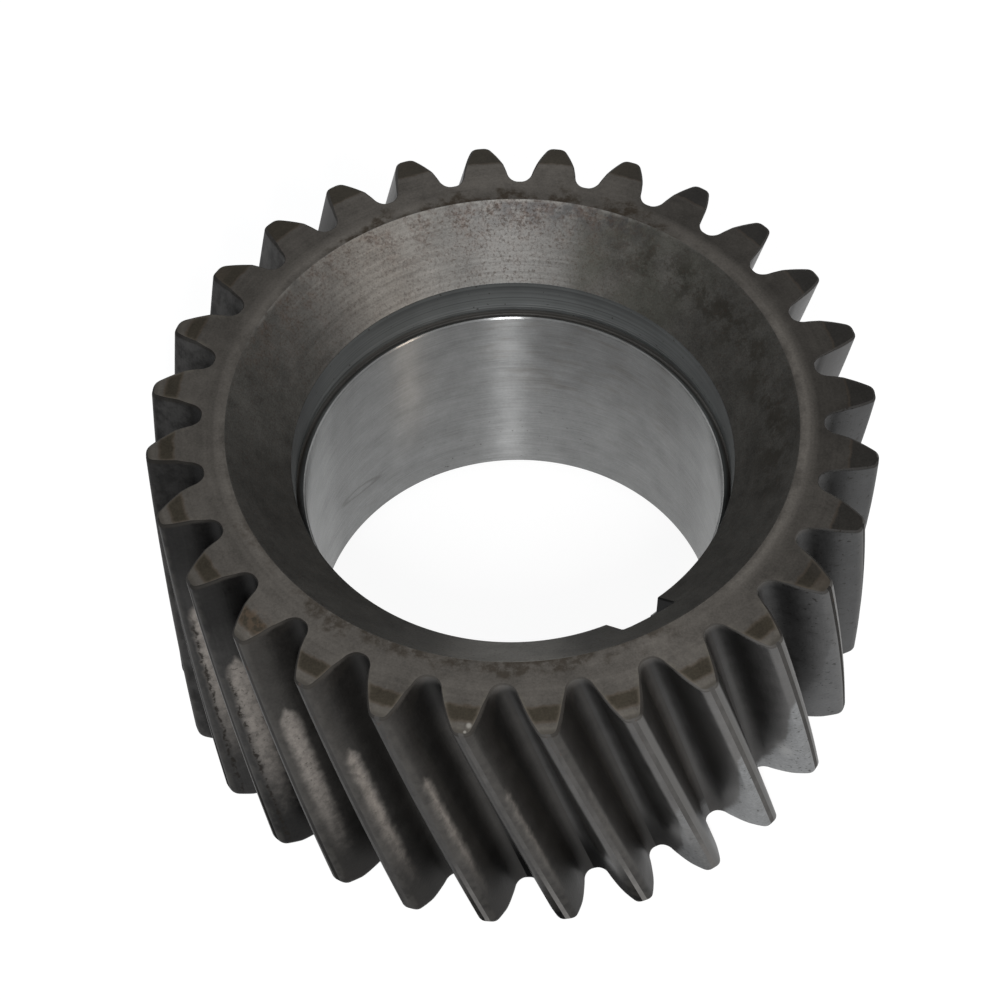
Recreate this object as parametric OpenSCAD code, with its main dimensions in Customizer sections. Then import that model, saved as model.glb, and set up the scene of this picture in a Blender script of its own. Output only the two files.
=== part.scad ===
// Helical gear wheel in one piece of steel, lying on its rear end face.
// The axis is Z, the rear end face is at z = 0 and the front end face, with its
// dished mouth, is on top. The teeth are involute and run in a helix.

/* [Teeth] */
// Number of teeth
teeth = 28; // [27:1:32]
// Module across the teeth (normal module)
module_n = 4; // [3.75:0.25:5]
// Pressure angle across the teeth
pressure_angle = 20; // [17.5:0.5:22.5]
// Helix angle at the pitch circle
helix_angle = 14.5; // [5:0.5:22]
// Hand of the helix
hand = "left"; // [left, right]
// Direction of one tooth's front end from the X axis
tooth_angle = -60; // [-180:1:180]
// Height of a tooth above the pitch circle
addendum = 4; // [3:0.1:4.6]
// Depth of a tooth gap below the pitch circle
dedendum = 5.3; // [4.6:0.1:6]
// Radius at the foot of each flank
fillet_r = 2.1; // [0.8:0.1:2.2]
// Metal taken off each flank for running clearance
flank_clearance = 0.15; // [0.05:0.05:0.35]
// Broken edge along both sides of each top land
land_edge = 0.25; // [0.1:0.05:0.5]

/* [Blank] */
// Width of the wheel along its axis
face_w = 64.5; // [50:0.5:90]
// How far the bevel on the front tooth ends reaches in from the tips
front_bevel = 5.1; // [2:0.1:7]
// How far the bevel on the rear tooth ends reaches in from the tips
rear_bevel = 3.3; // [2:0.1:7]
// Slope of both end bevels, from the end face
bevel_angle = 15; // [10:1:40]

/* [Dished mouth] */
// Diameter of the dish where it breaks the front face
dish_d = 96.8; // [88:0.2:100]
// Slope of the dish, from the axis
dish_angle = 45; // [35:1:60]
// Diameter of the recess at its foot
recess_d = 75; // [74.6:0.2:82]
// Height of the recess wall
recess_h = 7.2; // [3:0.1:14]
// Draft of the recess wall
recess_draft = 3; // [0.5:0.5:8]

/* [Relief groove] */
// Depth of the groove below the foot of the recess
groove_depth = 1.6; // [0.8:0.1:3]
// How far the groove undercuts the recess wall
groove_undercut = 0.4; // [0.1:0.1:1.2]

/* [Bore] */
// Diameter of the bore
bore_d = 72; // [64:0.5:73]
// Broken edge at the front end of the bore
bore_edge = 0.3; // [0.1:0.1:0.7]
// How far the bore's front edge stands below the foot of the recess
bore_drop = 0.4; // [0.1:0.1:0.7]
// Lead-in chamfer at the rear end of the bore
lead_in = 3; // [0.5:0.1:5]

/* [Keyway] */
// Width of the keyway
key_w = 9.8; // [6:0.2:14]
// Depth of the keyway, from the bore
key_depth = 6.5; // [3:0.1:8.5]
// Direction of the keyway from the X axis
key_angle = -59; // [-180:1:180]

/* [Hidden] */

steel = [0.36, 0.35, 0.34];
turned_fn = 180;      // roundness of the turned surfaces
helix_slices = 10;    // steps along the tooth helix
fillet_steps = 3;     // straight steps in each foot radius
flank_steps = 4;      // straight steps in each involute flank
over = 2;             // how far a cutting tool runs past the metal

// Involute geometry in the plane of rotation
pitch_r = teeth * module_n / cos(helix_angle) / 2;
turn_pressure = atan(tan(pressure_angle) / cos(helix_angle));
base_r = pitch_r * cos(turn_pressure);
tip_r = pitch_r + addendum;
root_r = pitch_r - dedendum;
tooth_pitch = 360 / teeth;
helix_turn = face_w * tan(helix_angle) / pitch_r * 180 / PI;
hand_sign = hand == "left" ? 1 : -1;

// Turned sizes
bore_r = bore_d / 2;
recess_r = recess_d / 2;
dish_r = dish_d / 2;
recess_mouth_r = recess_r + recess_h * tan(recess_draft);
dish_depth = (dish_r - recess_mouth_r) / tan(dish_angle);
recess_foot = face_w - dish_depth - recess_h;
bore_front = recess_foot - bore_drop;
groove_floor = recess_foot - groove_depth;

// Involute function, in degrees, of the pressure angle a
function involute(a) = tan(a) * 180 / PI - a;
// Pressure angle of the involute at the radius r
function angle_at(r) = acos(min(1, base_r / r));
// Half of a tooth, as an angle, on the pitch circle and on the base circle
pitch_half = tooth_pitch / 4 - flank_clearance / pitch_r * 180 / PI;
base_half = pitch_half + involute(turn_pressure);
// Half of a tooth, as an angle, at the radius r
function half_at(r) = base_half - involute(angle_at(r));

// Foot radius. Two feet have to fit side by side in a tooth gap.
gap_half = (tooth_pitch / 2 - base_half) * PI / 180 * base_r;
foot_fillet = min(fillet_r, 0.97 * gap_half);
// Centre of the foot radius. It lies on the involute parallel to the flank, at
// the foot radius from the flank and from the root circle. On a deep gap it lies
// inside the base circle, beside the straight part of the flank.
foot_r = root_r + foot_fillet;
on_involute = foot_r > base_r;
foot_lean = on_involute ? angle_at(foot_r) : asin(foot_fillet / foot_r);
foot_half = on_involute
    ? base_half + foot_fillet / base_r * 180 / PI - involute(foot_lean)
    : base_half + foot_lean;
// Radius at which the foot meets the flank
flank_foot_r = on_involute
    ? norm([base_r, max(0, foot_r * sin(foot_lean) - foot_fillet)])
    : foot_r * cos(foot_lean);

function polar(r, a) = [r * cos(a), r * sin(a)];

// One side of a tooth that stands on the X axis, from the root circle to the top
// land: the foot radius, the flank and the broken edge of the land
function foot_points() = [
    for (i = [0 : fillet_steps - 1])
        let (from = foot_half - 180, to = foot_half - foot_lean - 90)
        polar(foot_r, foot_half) + polar(foot_fillet, from + (to - from) * i / fillet_steps)
];
function flank_points() = [
    for (i = [0 : flank_steps])
        let (r = flank_foot_r + (tip_r - land_edge - flank_foot_r) * i / flank_steps)
        polar(r, half_at(r))
];
function side_points() = concat(
    foot_points(),
    flank_points(),
    [polar(tip_r, half_at(tip_r) - land_edge / tip_r * 180 / PI)]
);
function turned(p, a) = [p.x * cos(a) - p.y * sin(a), p.x * sin(a) + p.y * cos(a)];

// Outline of the toothed wheel, counter-clockwise, with one tooth on the X axis
function wheel_outline() = [
    for (n = [0 : teeth - 1])
        let (side = side_points(), last = len(side) - 1)
        for (i = [0 : 2 * last + 1])
            i <= last
                ? turned([side[i].x, -side[i].y], n * tooth_pitch)
                : turned(side[2 * last + 1 - i], n * tooth_pitch)
];

// Helical teeth over the whole width. One of them ends on the front face at tooth_angle.
module helical_teeth() {
    rotate(tooth_angle + hand_sign * helix_turn)
        linear_extrude(height = face_w, twist = hand_sign * helix_turn, slices = helix_slices)
            polygon(wheel_outline());
}

// The turned shape of the blank, which trims the tooth ends with a shallow bevel.
// It runs past both end faces, and between the bevels it is wider than the tips, so
// it cuts nothing but the bevels.
module bevelled_blank() {
    slope = tan(bevel_angle);
    rotate_extrude($fn = turned_fn)
        polygon([
            [0, -over],
            [tip_r - rear_bevel - over / slope, -over],
            [tip_r + over, (rear_bevel + over) * slope],
            [tip_r + over, face_w - (front_bevel + over) * slope],
            [tip_r - front_bevel - over / slope, face_w + over],
            [0, face_w + over]
        ]);
}

// Everything that is turned out of the middle: dish, recess, relief groove, bore
module turned_opening() {
    rotate_extrude($fn = turned_fn)
        polygon([
            [0, -over],
            [bore_r + lead_in + over, -over],
            [bore_r, lead_in],
            [bore_r, bore_front - bore_edge],
            [bore_r + bore_edge, bore_front],
            [recess_r, groove_floor],
            [recess_r + groove_undercut, groove_floor],
            [recess_r + groove_undercut, recess_foot],
            [recess_r, recess_foot],
            [recess_mouth_r, face_w - dish_depth],
            [dish_r + over * tan(dish_angle), face_w + over],
            [0, face_w + over]
        ]);
}

// Straight-sided slot for the key, open into the bore along its whole length
module keyway() {
    rotate(key_angle)
        translate([0, -key_w / 2, -over])
            cube([bore_r + key_depth, key_w, face_w + 2 * over]);
}

// The whole wheel
module gear_wheel() {
    color(steel)
        difference() {
            intersection() {
                helical_teeth();
                bevelled_blank();
            }
            turned_opening();
            keyway();
        }
}

gear_wheel();
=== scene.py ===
"""Looks of a helical gear wheel: one piece of dark, oily steel with a turned dish, a
ground bore and worn teeth. Sizes are millimetres until a mesh is made."""

import math

import bmesh
import bpy
import numpy as np
from mathutils import Matrix, Vector


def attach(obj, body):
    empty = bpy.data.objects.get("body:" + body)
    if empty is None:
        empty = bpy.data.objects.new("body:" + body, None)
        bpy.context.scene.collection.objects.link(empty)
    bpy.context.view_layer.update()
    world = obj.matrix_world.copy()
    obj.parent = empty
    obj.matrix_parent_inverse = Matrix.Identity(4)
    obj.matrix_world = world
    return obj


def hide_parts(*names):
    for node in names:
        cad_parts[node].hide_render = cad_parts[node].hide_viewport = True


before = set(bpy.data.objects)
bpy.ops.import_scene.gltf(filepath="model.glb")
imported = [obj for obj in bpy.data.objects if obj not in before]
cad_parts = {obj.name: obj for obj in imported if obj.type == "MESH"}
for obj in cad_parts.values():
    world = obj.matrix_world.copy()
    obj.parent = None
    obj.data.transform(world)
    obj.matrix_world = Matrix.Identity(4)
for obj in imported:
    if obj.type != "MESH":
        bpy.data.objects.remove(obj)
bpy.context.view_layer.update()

MM = 0.001

# Sizes of the wheel, as in the CAD source
TEETH = 28
MODULE = 4.0
PRESSURE_ANGLE = math.radians(20)
HELIX_ANGLE = math.radians(14.5)
ADDENDUM = 4.0
DEDENDUM = 5.3
FOOT_RADIUS = 2.1
FLANK_CLEARANCE = 0.15
FACE_WIDTH = 64.5
BEVEL_SLOPE = math.tan(math.radians(15))
FRONT_BEVEL = 5.1
REAR_BEVEL = 3.3
DISH_R = 48.4
RECESS_R = 37.5
RECESS_H = 7.2
RECESS_DRAFT = math.radians(3)
GROOVE_DEPTH = 1.6
GROOVE_UNDERCUT = 0.4
BORE_R = 36.0
BORE_EDGE = 0.3
BORE_DROP = 0.4
LEAD_IN = 3.0
TOOTH_ANGLE = math.radians(-60)
KEY_ANGLE = math.radians(-59)
KEY_HALF = 4.9
KEY_REACH = 42.5

# Edges that are broken or worn round
FRONT_ROUND = 0.38
FOOT_ROUND = 0.14                                # the same front edge, at the foot of a gap
REAR_ROUND = 1.05
LAND_ROUND = 0.95
TURNED_ROUND = 0.16
KEY_ROUND = 0.28
KEY_FLOOR_ROUND = 0.16

# The foot of a gap: where it starts to narrow, and by what share
FOOT_START = 56.4
GAP_NARROWING = 0.11

PITCH = 2 * math.pi / TEETH
PITCH_R = TEETH * MODULE / math.cos(HELIX_ANGLE) / 2
TURN_PRESSURE = math.atan(math.tan(PRESSURE_ANGLE) / math.cos(HELIX_ANGLE))
BASE_R = PITCH_R * math.cos(TURN_PRESSURE)
TIP_R = PITCH_R + ADDENDUM
ROOT_R = PITCH_R - DEDENDUM
TWIST = math.tan(HELIX_ANGLE) / PITCH_R          # radians a millimetre
RECESS_MOUTH_R = RECESS_R + RECESS_H * math.tan(RECESS_DRAFT)
DISH_FOOT = FACE_WIDTH - (DISH_R - RECESS_MOUTH_R)
RECESS_FOOT = DISH_FOOT - RECESS_H
FRONT_JOIN = DISH_R + 0.6                        # where the turned middle meets the toothed rim
REAR_JOIN = 46.6

# Points and columns of the meshes
LAND_POINTS = 4                                  # in half a top land
COLUMNS = 2 * LAND_POINTS                        # in one pitch of an end face
SLOT_COLUMNS = 4                                 # in half the keyway
FAN_COLUMNS = 12                                 # from the keyway to where they are even
FLANK_ROWS = 22                                  # along the helix
MERGE = 2e-7                                     # metres
WELD = 2e-6

# Tooth outline


def involute(r):
    pressure = math.acos(min(1, BASE_R / r))
    return math.tan(pressure) - pressure


BASE_HALF = PITCH / 4 - FLANK_CLEARANCE / PITCH_R + involute(PITCH_R)


def gap_narrowed(r, angle):
    """The teeth thicken towards their foot, so that a gap ends narrower than its flanks
    alone would make it."""
    depth = min(1, max(0, (FOOT_START - r) / (FOOT_START - ROOT_R)))
    share = 1 - GAP_NARROWING * depth * depth * (3 - 2 * depth)
    return PITCH / 2 - (PITCH / 2 - angle) * share


def tooth_side():
    """Points (radius, angle from the middle of the tooth) from the middle of a gap to
    the middle of the top land."""
    foot_r = ROOT_R + FOOT_RADIUS
    lean = math.acos(BASE_R / foot_r)
    foot_half = BASE_HALF + FOOT_RADIUS / BASE_R - involute(foot_r)
    flank_foot_r = math.hypot(BASE_R, foot_r * math.sin(lean) - FOOT_RADIUS)
    side = [(ROOT_R, PITCH / 2)]
    centre = complex(foot_r * math.cos(foot_half), foot_r * math.sin(foot_half))
    start, end = foot_half - math.pi, foot_half - lean - math.pi / 2
    for share in np.linspace(0.12, 1, 9)[:-1]:
        turn = start + (end - start) * share
        p = centre + FOOT_RADIUS * complex(math.cos(turn), math.sin(turn))
        side.append((abs(p), math.atan2(p.imag, p.real)))
    crease = TIP_R - FRONT_BEVEL
    inner = np.linspace(flank_foot_r, crease, 7)
    outer = np.linspace(crease, TIP_R - 0.9 * LAND_ROUND, 9)
    for r in (*inner, *outer[1:]):
        side.append((r, BASE_HALF - involute(r)))
    # the worn corner runs from the flank into the top land without a crease
    corner = BASE_HALF - involute(TIP_R)
    land = corner - LAND_ROUND / TIP_R
    below, sharp, beside = (complex(r * math.cos(a), r * math.sin(a))
                            for r, a in (side[-1], (TIP_R, corner), (TIP_R, land)))
    for t in (0.2, 0.4, 0.6, 0.8):
        p = (1 - t) ** 2 * below + 2 * t * (1 - t) * sharp + t * t * beside
        side.append((abs(p), math.atan2(p.imag, p.real)))
    side.append((TIP_R, land))
    side += [(TIP_R, land * share) for share in (0.75, 0.5, 0.25, 0)]
    return [(r, gap_narrowed(r, a)) for r, a in side]


def rim_outline():
    """One pitch of the outline as rows of x, y and the outward normal, with the tooth on
    the X axis."""
    side = tooth_side()
    polar = [(r, -a) for r, a in side] + [(r, a) for r, a in side[-2::-1]]
    points = np.array([(r * math.cos(a), r * math.sin(a)) for r, a in polar])
    along = np.gradient(points, axis=0)
    along[0] = along[-1] = 0
    normal = np.stack([along[:, 1], -along[:, 0]], axis=1)
    for end in (0, -1):
        normal[end] = points[end]
    normal /= np.linalg.norm(normal, axis=1)[:, None]
    return points, normal


def front_height(r):
    return FACE_WIDTH - np.maximum(0, r - (TIP_R - FRONT_BEVEL)) * BEVEL_SLOPE


def rear_height(r):
    return np.maximum(0, r - (TIP_R - REAR_BEVEL)) * BEVEL_SLOPE


# Meshes

FINISHES = ["face", "bevel", "dish", "recess", "bore", "flank", "land", "rear", "key"]


class Shell:
    """A mesh under construction: grids of points in millimetres, each with a finish."""

    def __init__(self):
        self.points, self.faces, self.finish = [], [], []

    def grid(self, rows, finish, flip=False):
        """rows is an array of points [row][column]. finish is a name, or a name a row."""
        rows = np.asarray(rows, float)
        count, width = rows.shape[:2]
        base = len(self.points)
        self.points.extend(rows.reshape(-1, 3))
        for i in range(count - 1):
            name = finish if isinstance(finish, str) else finish[i]
            for j in range(width - 1):
                a = base + i * width + j
                quad = (a, a + 1, a + width + 1, a + width)
                self.faces.append(quad[::-1] if flip else quad)
                self.finish.append(FINISHES.index(name))

    def mesh(self, name):
        data = bpy.data.meshes.new(name)
        data.from_pydata([tuple(p * MM) for p in self.points], [], self.faces)
        kind = data.attributes.new("finish", "INT", "FACE")
        kind.data.foreach_set("value", self.finish)
        work = bmesh.new()
        work.from_mesh(data)
        bmesh.ops.remove_doubles(work, verts=work.verts, dist=MERGE)
        bmesh.ops.dissolve_degenerate(work, edges=work.edges, dist=MERGE / 2)
        work.to_mesh(data)
        work.free()
        return data


def turned(points, z, angle):
    """Points [x, y] at the height z, turned by angle about the axis."""
    x, y = points[..., 0], points[..., 1]
    c, s = np.cos(angle), np.sin(angle)
    return np.stack([x * c - y * s, x * s + y * c, np.broadcast_to(z, x.shape)], axis=-1)


def helix(z):
    """Turn of the tooth outline at the height z."""
    return TOOTH_ANGLE + (FACE_WIDTH - z) * TWIST


def rim_sector():
    """One tooth with half a gap on both sides, and its share of both end faces."""
    outline, normal = rim_outline()
    radius = np.linalg.norm(outline, axis=1)
    land = np.abs(np.arange(len(outline)) - len(outline) // 2) <= LAND_POINTS
    shell = Shell()

    def edge_rows(height, sign, size):
        """Rows round the edge between the outline and an end face, from the outline in."""
        rows = []
        for turn in np.radians((0, 22, 45, 68, 90)):
            inward = outline - normal * (size * (1 - math.cos(turn)))[:, None]
            z = height(np.linalg.norm(inward, axis=1)) - sign * size * (1 - math.sin(turn))
            rows.append(turned(inward, z, helix(z)))
        return rows

    front_round = np.interp(radius, (ROOT_R + 1, TIP_R - 4), (FOOT_ROUND, FRONT_ROUND))
    front = edge_rows(front_height, 1, front_round)
    rear = edge_rows(rear_height, -1, np.full(len(radius), REAR_ROUND))
    low, high = rear[0][:, 2], front[0][:, 2]
    rows = []
    for share in np.linspace(0, 1, FLANK_ROWS + 1):
        z = low + (high - low) * share
        rows.append(turned(outline, z, helix(z)))
    # a near row at both ends keeps the shading of the flank level up to its edge
    near = 0.5
    rows.insert(1, turned(outline, low + near, helix(low + near)))
    rows.insert(-1, turned(outline, high - near, helix(high - near)))
    body = np.concatenate([rear[::-1], rows[1:-1], front])
    middle = np.flatnonzero(land)
    for first, last, name in (
        (0, middle[0], "flank"),
        (middle[0], middle[-1], "land"),
        (middle[-1], len(outline) - 1, "flank"),
    ):
        shell.grid(body[:, first:last + 1], name)

    def end_face(edge, height, join, finishes, flip):
        """End face from the turned middle out to the tip, in cross rows."""
        half = len(outline) // 2
        rows, names = [], []
        root = np.linalg.norm(edge[0][:2])
        for r in np.linspace(join, root - 0.35, 4):
            spread = np.linspace(-PITCH / 2, PITCH / 2, COLUMNS + 1)
            flat = np.stack([r * np.cos(spread), r * np.sin(spread)], axis=1)
            rows.append(turned(flat, height(r), helix(height(r))))
            names.append(finishes[0])
        for a, b in zip(edge[:half - LAND_POINTS + 1], edge[:half + LAND_POINTS - 1:-1]):
            turn_a, turn_b = math.atan2(a[1], a[0]), math.atan2(b[1], b[0])
            if turn_b < turn_a:
                turn_b += 2 * math.pi
            r = math.hypot(a[0], a[1])
            spread = np.linspace(turn_a, turn_b, COLUMNS + 1)
            rows.append(np.stack([r * np.cos(spread), r * np.sin(spread),
                                  np.full(COLUMNS + 1, a[2])], axis=1))
            names.append(finishes[0] if a[2] in (0.0, FACE_WIDTH) else finishes[1])
        rows[-1] = edge[half - LAND_POINTS:half + LAND_POINTS + 1]
        shell.grid(rows, names[1:], flip)

    end_face(front[-1], front_height, FRONT_JOIN, ("face", "bevel"), flip=True)
    end_face(rear[-1], rear_height, REAR_JOIN, ("rear", "rear"), flip=False)
    return shell.mesh("rim_sector")


def rounded(corners, arc_steps=3):
    """A polyline of (r, z, finish after it, corner radius) with its corners rounded."""
    path, names = [], []
    for i, (r, z, name, size) in enumerate(corners):
        here = np.array([r, z])
        if size == 0:
            path.append(here)
            names.append(name)
            continue
        back = np.array(corners[i - 1][:2]) - here
        ahead = np.array(corners[i + 1][:2]) - here
        back /= np.linalg.norm(back)
        ahead /= np.linalg.norm(ahead)
        bend = math.acos(np.clip(back @ ahead, -1, 1))
        cut = size / math.tan(bend / 2)
        a, b = here + back * cut, here + ahead * cut
        for t in np.linspace(0, 1, arc_steps + 1):
            # a quadratic blend stays close to the arc at these sizes
            path.append((1 - t) ** 2 * a + 2 * t * (1 - t) * here + t * t * b)
            names.append(name)
    return np.array(path), names


def turned_profile():
    """Profile of everything turned out of the middle, from the front face to the rear
    face, as points (r, z) and the finish of each stretch."""
    groove_floor = RECESS_FOOT - GROOVE_DEPTH
    bore_front = RECESS_FOOT - BORE_DROP
    e = TURNED_ROUND
    corners = [
        (FRONT_JOIN, FACE_WIDTH, "face", 0),
        (DISH_R, FACE_WIDTH, "dish", e),
        (RECESS_MOUTH_R, DISH_FOOT, "recess", e),
        (RECESS_R, RECESS_FOOT, "recess", 0.1),
        (RECESS_R + GROOVE_UNDERCUT, RECESS_FOOT, "recess", 0.1),
        (RECESS_R + GROOVE_UNDERCUT, groove_floor, "recess", 0.1),
        (RECESS_R, groove_floor, "recess", 0.1),
        (BORE_R + BORE_EDGE, bore_front, "bore", 0.1),
        (BORE_R, bore_front - BORE_EDGE, "bore", 0.1),
        (BORE_R, LEAD_IN, "bore", e),
        (BORE_R + LEAD_IN, 0, "rear", e),
        (REAR_JOIN, 0, "rear", 0),
    ]
    path, names = rounded(corners)
    points, finish = [path[0]], []
    for a, b, name in zip(path[:-1], path[1:], names[:-1]):
        length = np.linalg.norm(b - a)
        shares = [1.0]
        if length > 2.5:
            edge = 0.45 / length
            shares = [edge, *np.linspace(edge, 1 - edge, max(2, int(length / 1.1)))[1:], 1.0]
        for share in shares:
            points.append(a + (b - a) * share)
            finish.append(name)
    return np.array(points), finish


def turned_middle():
    """The dish, recess, groove, bore and lead-in, with the keyway cut through them."""
    path, finish = turned_profile()
    along = np.gradient(path, axis=0)
    into = np.stack([-along[:, 1], along[:, 0]], axis=1)       # normal into the metal
    into /= np.linalg.norm(into, axis=1)[:, None]
    if into[len(into) // 2][0] < 0:
        into = -into
    reach = math.hypot(KEY_REACH, KEY_HALF)                    # radius of the slot's corners
    inside = path[:, 0] < reach
    first = int(np.flatnonzero(inside)[0])
    last = int(np.flatnonzero(inside)[-1])

    def at_radius(a, b, r):
        return a + (b - a) * ((r - a[0]) / (b[0] - a[0]))

    # rows exactly at the slot's corners, in the dish and on the rear face
    top = at_radius(path[first - 1], path[first], reach)
    bottom = at_radius(path[last], path[last + 1], reach)
    path = np.concatenate([path[:first], [top], path[first:last + 1], [bottom], path[last + 1:]])
    slot_into, slot_finish = into[first:last + 1], finish[first:last + 1]
    into = np.concatenate(
        [into[:first], slot_into[:1], slot_into, slot_into[-1:], into[last + 1:]])
    finish = [*finish[:first], finish[first - 1], *slot_finish, finish[last], *finish[last + 1:]]
    top_row, bottom_row = first, last + 2

    total = TEETH * COLUMNS
    column = PITCH / COLUMNS
    rear_turn = FACE_WIDTH * TWIST
    rear_shift = rear_turn - round(rear_turn / column) * column
    shell = Shell()

    def column_angle(k, r, z, edge):
        """Angle of column k from the key's middle, on the row of radius r."""
        k = k if k <= total / 2 else k - total
        nominal = 2 * math.pi * k / total
        if z == FACE_WIDTH or r > reach:
            far = FRONT_JOIN if z > FACE_WIDTH / 2 else REAR_JOIN
            fade = np.clip((far - r) / (far - reach), 0, 1)
        else:
            fade = 1.0
        slot = math.asin(min(1, edge / r))
        side = abs(k)
        if side <= SLOT_COLUMNS:
            across = edge * side / SLOT_COLUMNS / r
            wanted = math.copysign(math.asin(min(1, across)), k) if side else 0.0
        elif side <= FAN_COLUMNS:
            outer = 2 * math.pi * FAN_COLUMNS / total
            share = (side - SLOT_COLUMNS) / (FAN_COLUMNS - SLOT_COLUMNS)
            wanted = math.copysign(slot + (outer - slot) * share, k)
        else:
            wanted = nominal
        angle = nominal + fade * (wanted - nominal)
        if z < FACE_WIDTH / 2 and r > reach:
            angle += rear_shift * (1 - fade)
        return TOOTH_ANGLE + fade * (KEY_ANGLE - TOOTH_ANGLE) + angle

    def place(k, i, edge):
        r, z = path[i]
        a = column_angle(k, r, z, edge)
        return (r * math.cos(a), r * math.sin(a), z)

    def edge_size(i):
        """Half width of the slot at its broken edge. The edge runs out at the corners."""
        return KEY_HALF + (KEY_ROUND if top_row < i < bottom_row else 0.0)

    beside_slot = range(SLOT_COLUMNS, total - SLOT_COLUMNS + 1)
    over_slot = range(-SLOT_COLUMNS, SLOT_COLUMNS + 1)
    shell.grid([[place(k, i, edge_size(i)) for k in beside_slot] for i in range(len(path))], finish)
    # beyond the slot's ends the rows run right round
    upper = [[place(k, i, KEY_HALF) for k in over_slot] for i in range(top_row)]
    lower = [[place(k, i, KEY_HALF) for k in over_slot] for i in range(bottom_row + 1, len(path))]

    def slot_point(x, y, z):
        c, s = math.cos(KEY_ANGLE), math.sin(KEY_ANGLE)
        return (x * c - y * s, x * s + y * c, z)

    across = [KEY_HALF * k / SLOT_COLUMNS for k in over_slot]

    def dish_z(r):
        return DISH_FOOT + (r - RECESS_MOUTH_R)

    def taper(y):
        """Rounding of the floor's two ends, which runs out at its sides."""
        return KEY_FLOOR_ROUND if abs(y) < KEY_HALF - 1e-9 else 0.0

    mouth, mouth_low = [], []
    for y in across:
        x = KEY_REACH + taper(y)
        mouth.append(slot_point(x, y, dish_z(math.hypot(x, y))))
        mouth_low.append(slot_point(KEY_REACH, y, dish_z(math.hypot(KEY_REACH, y)) - taper(y)))
    shell.grid(upper + [mouth], [finish[i] for i in range(top_row)])
    back, back_low = [], []
    for y in across:
        back.append(slot_point(KEY_REACH + taper(y), y, 0.0))
        back_low.append(slot_point(KEY_REACH, y, taper(y)))
    shell.grid([back] + lower, [finish[i] for i in range(bottom_row, len(path) - 1)])
    floor_rows = [mouth, mouth_low]
    for share in np.linspace(0, 1, 13)[1:-1]:
        floor_rows.append([
            slot_point(KEY_REACH, y, lo[2] + (hi[2] - lo[2]) * share)
            for y, lo, hi in zip(across, mouth_low, back_low)
        ])
    floor_rows += [back_low, back]
    shell.grid(floor_rows, "key")

    for sign in (-1, 1):
        strip = []
        for turn in np.radians((0, 30, 60, 90)):
            line = []
            for i in range(top_row, bottom_row + 1):
                size = edge_size(i) - KEY_HALF
                y = KEY_HALF + size * (1 - math.sin(turn))
                r, z = path[i] + into[i] * size * (1 - math.cos(turn))
                z = min(max(z, 0.0), FACE_WIDTH)
                x = math.sqrt(max(r * r - y * y, 0))
                line.append(slot_point(min(x, KEY_REACH), sign * y, z))
            strip.append(line)
        shell.grid(strip, "key", flip=sign < 0)
        # the flat side of the slot, between its broken edge and the floor's corner
        rim = strip[-1]
        heights = [row[0 if sign < 0 else -1] for row in floor_rows]
        base = len(shell.points)
        loop = list(rim) + heights[2:-2][::-1]
        shell.points.extend(np.array(loop, float))
        face = tuple(range(base, base + len(loop)))
        shell.faces.append(face if sign > 0 else face[::-1])
        shell.finish.append(FINISHES.index("key"))
    return shell.mesh("turned_middle")


# Writing node trees


class Wire:
    """One output socket, with the arithmetic that the trees below are written in."""

    def __init__(self, graph, socket):
        self.graph, self.socket = graph, socket

    def math(self, operation, *values):
        inputs = dict(enumerate(values))
        return self.graph.node("ShaderNodeMath", {"operation": operation}, inputs)

    def __add__(self, other):
        return self.math("ADD", self, other)

    def __radd__(self, other):
        return self.math("ADD", other, self)

    def __sub__(self, other):
        return self.math("SUBTRACT", self, other)

    def __rsub__(self, other):
        return self.math("SUBTRACT", other, self)

    def __mul__(self, other):
        return self.math("MULTIPLY", self, other)

    def __rmul__(self, other):
        return self.math("MULTIPLY", other, self)

    def __truediv__(self, other):
        return self.math("DIVIDE", self, other)

    def __pow__(self, other):
        return self.math("POWER", self, other)

    def __abs__(self):
        return self.math("ABSOLUTE", self)

    def ramp(self, low, high, start=0.0, end=1.0):
        """A smooth step from start at low to end at high."""
        return self.graph.node(
            "ShaderNodeMapRange", {"interpolation_type": "SMOOTHSTEP"},
            {"Value": self, "From Min": low, "From Max": high, "To Min": start, "To Max": end})

    def bump(self, centre, half):
        """1 at centre, smoothly 0 at half away from it."""
        return abs(self - centre).ramp(0.0, half, 1.0, 0.0)

    def most(self, other):
        return self.math("MAXIMUM", self, other)

    def least(self, other):
        return self.math("MINIMUM", self, other)


class Graph:
    """A node tree under construction."""

    def __init__(self, tree):
        self.tree = tree

    def node(self, kind, settings=None, inputs=None, output=0):
        """Adds a node: its settings first, then the values or links of its sockets."""
        made = self.tree.nodes.new(kind)
        for name, value in (settings or {}).items():
            setattr(made, name, value)
        for name, value in (inputs or {}).items():
            if isinstance(value, Wire):
                self.tree.links.new(value.socket, made.inputs[name])
            else:
                made.inputs[name].default_value = value
        return Wire(self, made.outputs[output]) if made.outputs else None

    def mix(self, factor, first, second):
        return self.node("ShaderNodeMix", {"data_type": "RGBA"}, {0: factor, 6: first, 7: second}, 2)

    def shade(self, colour, level):
        """A colour made lighter or darker by a varying level."""
        colour = colour if isinstance(colour, Wire) else colour[:3]
        return self.node("ShaderNodeVectorMath", {"operation": "SCALE"}, {0: colour, "Scale": level})


# The wheel's tree


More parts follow.
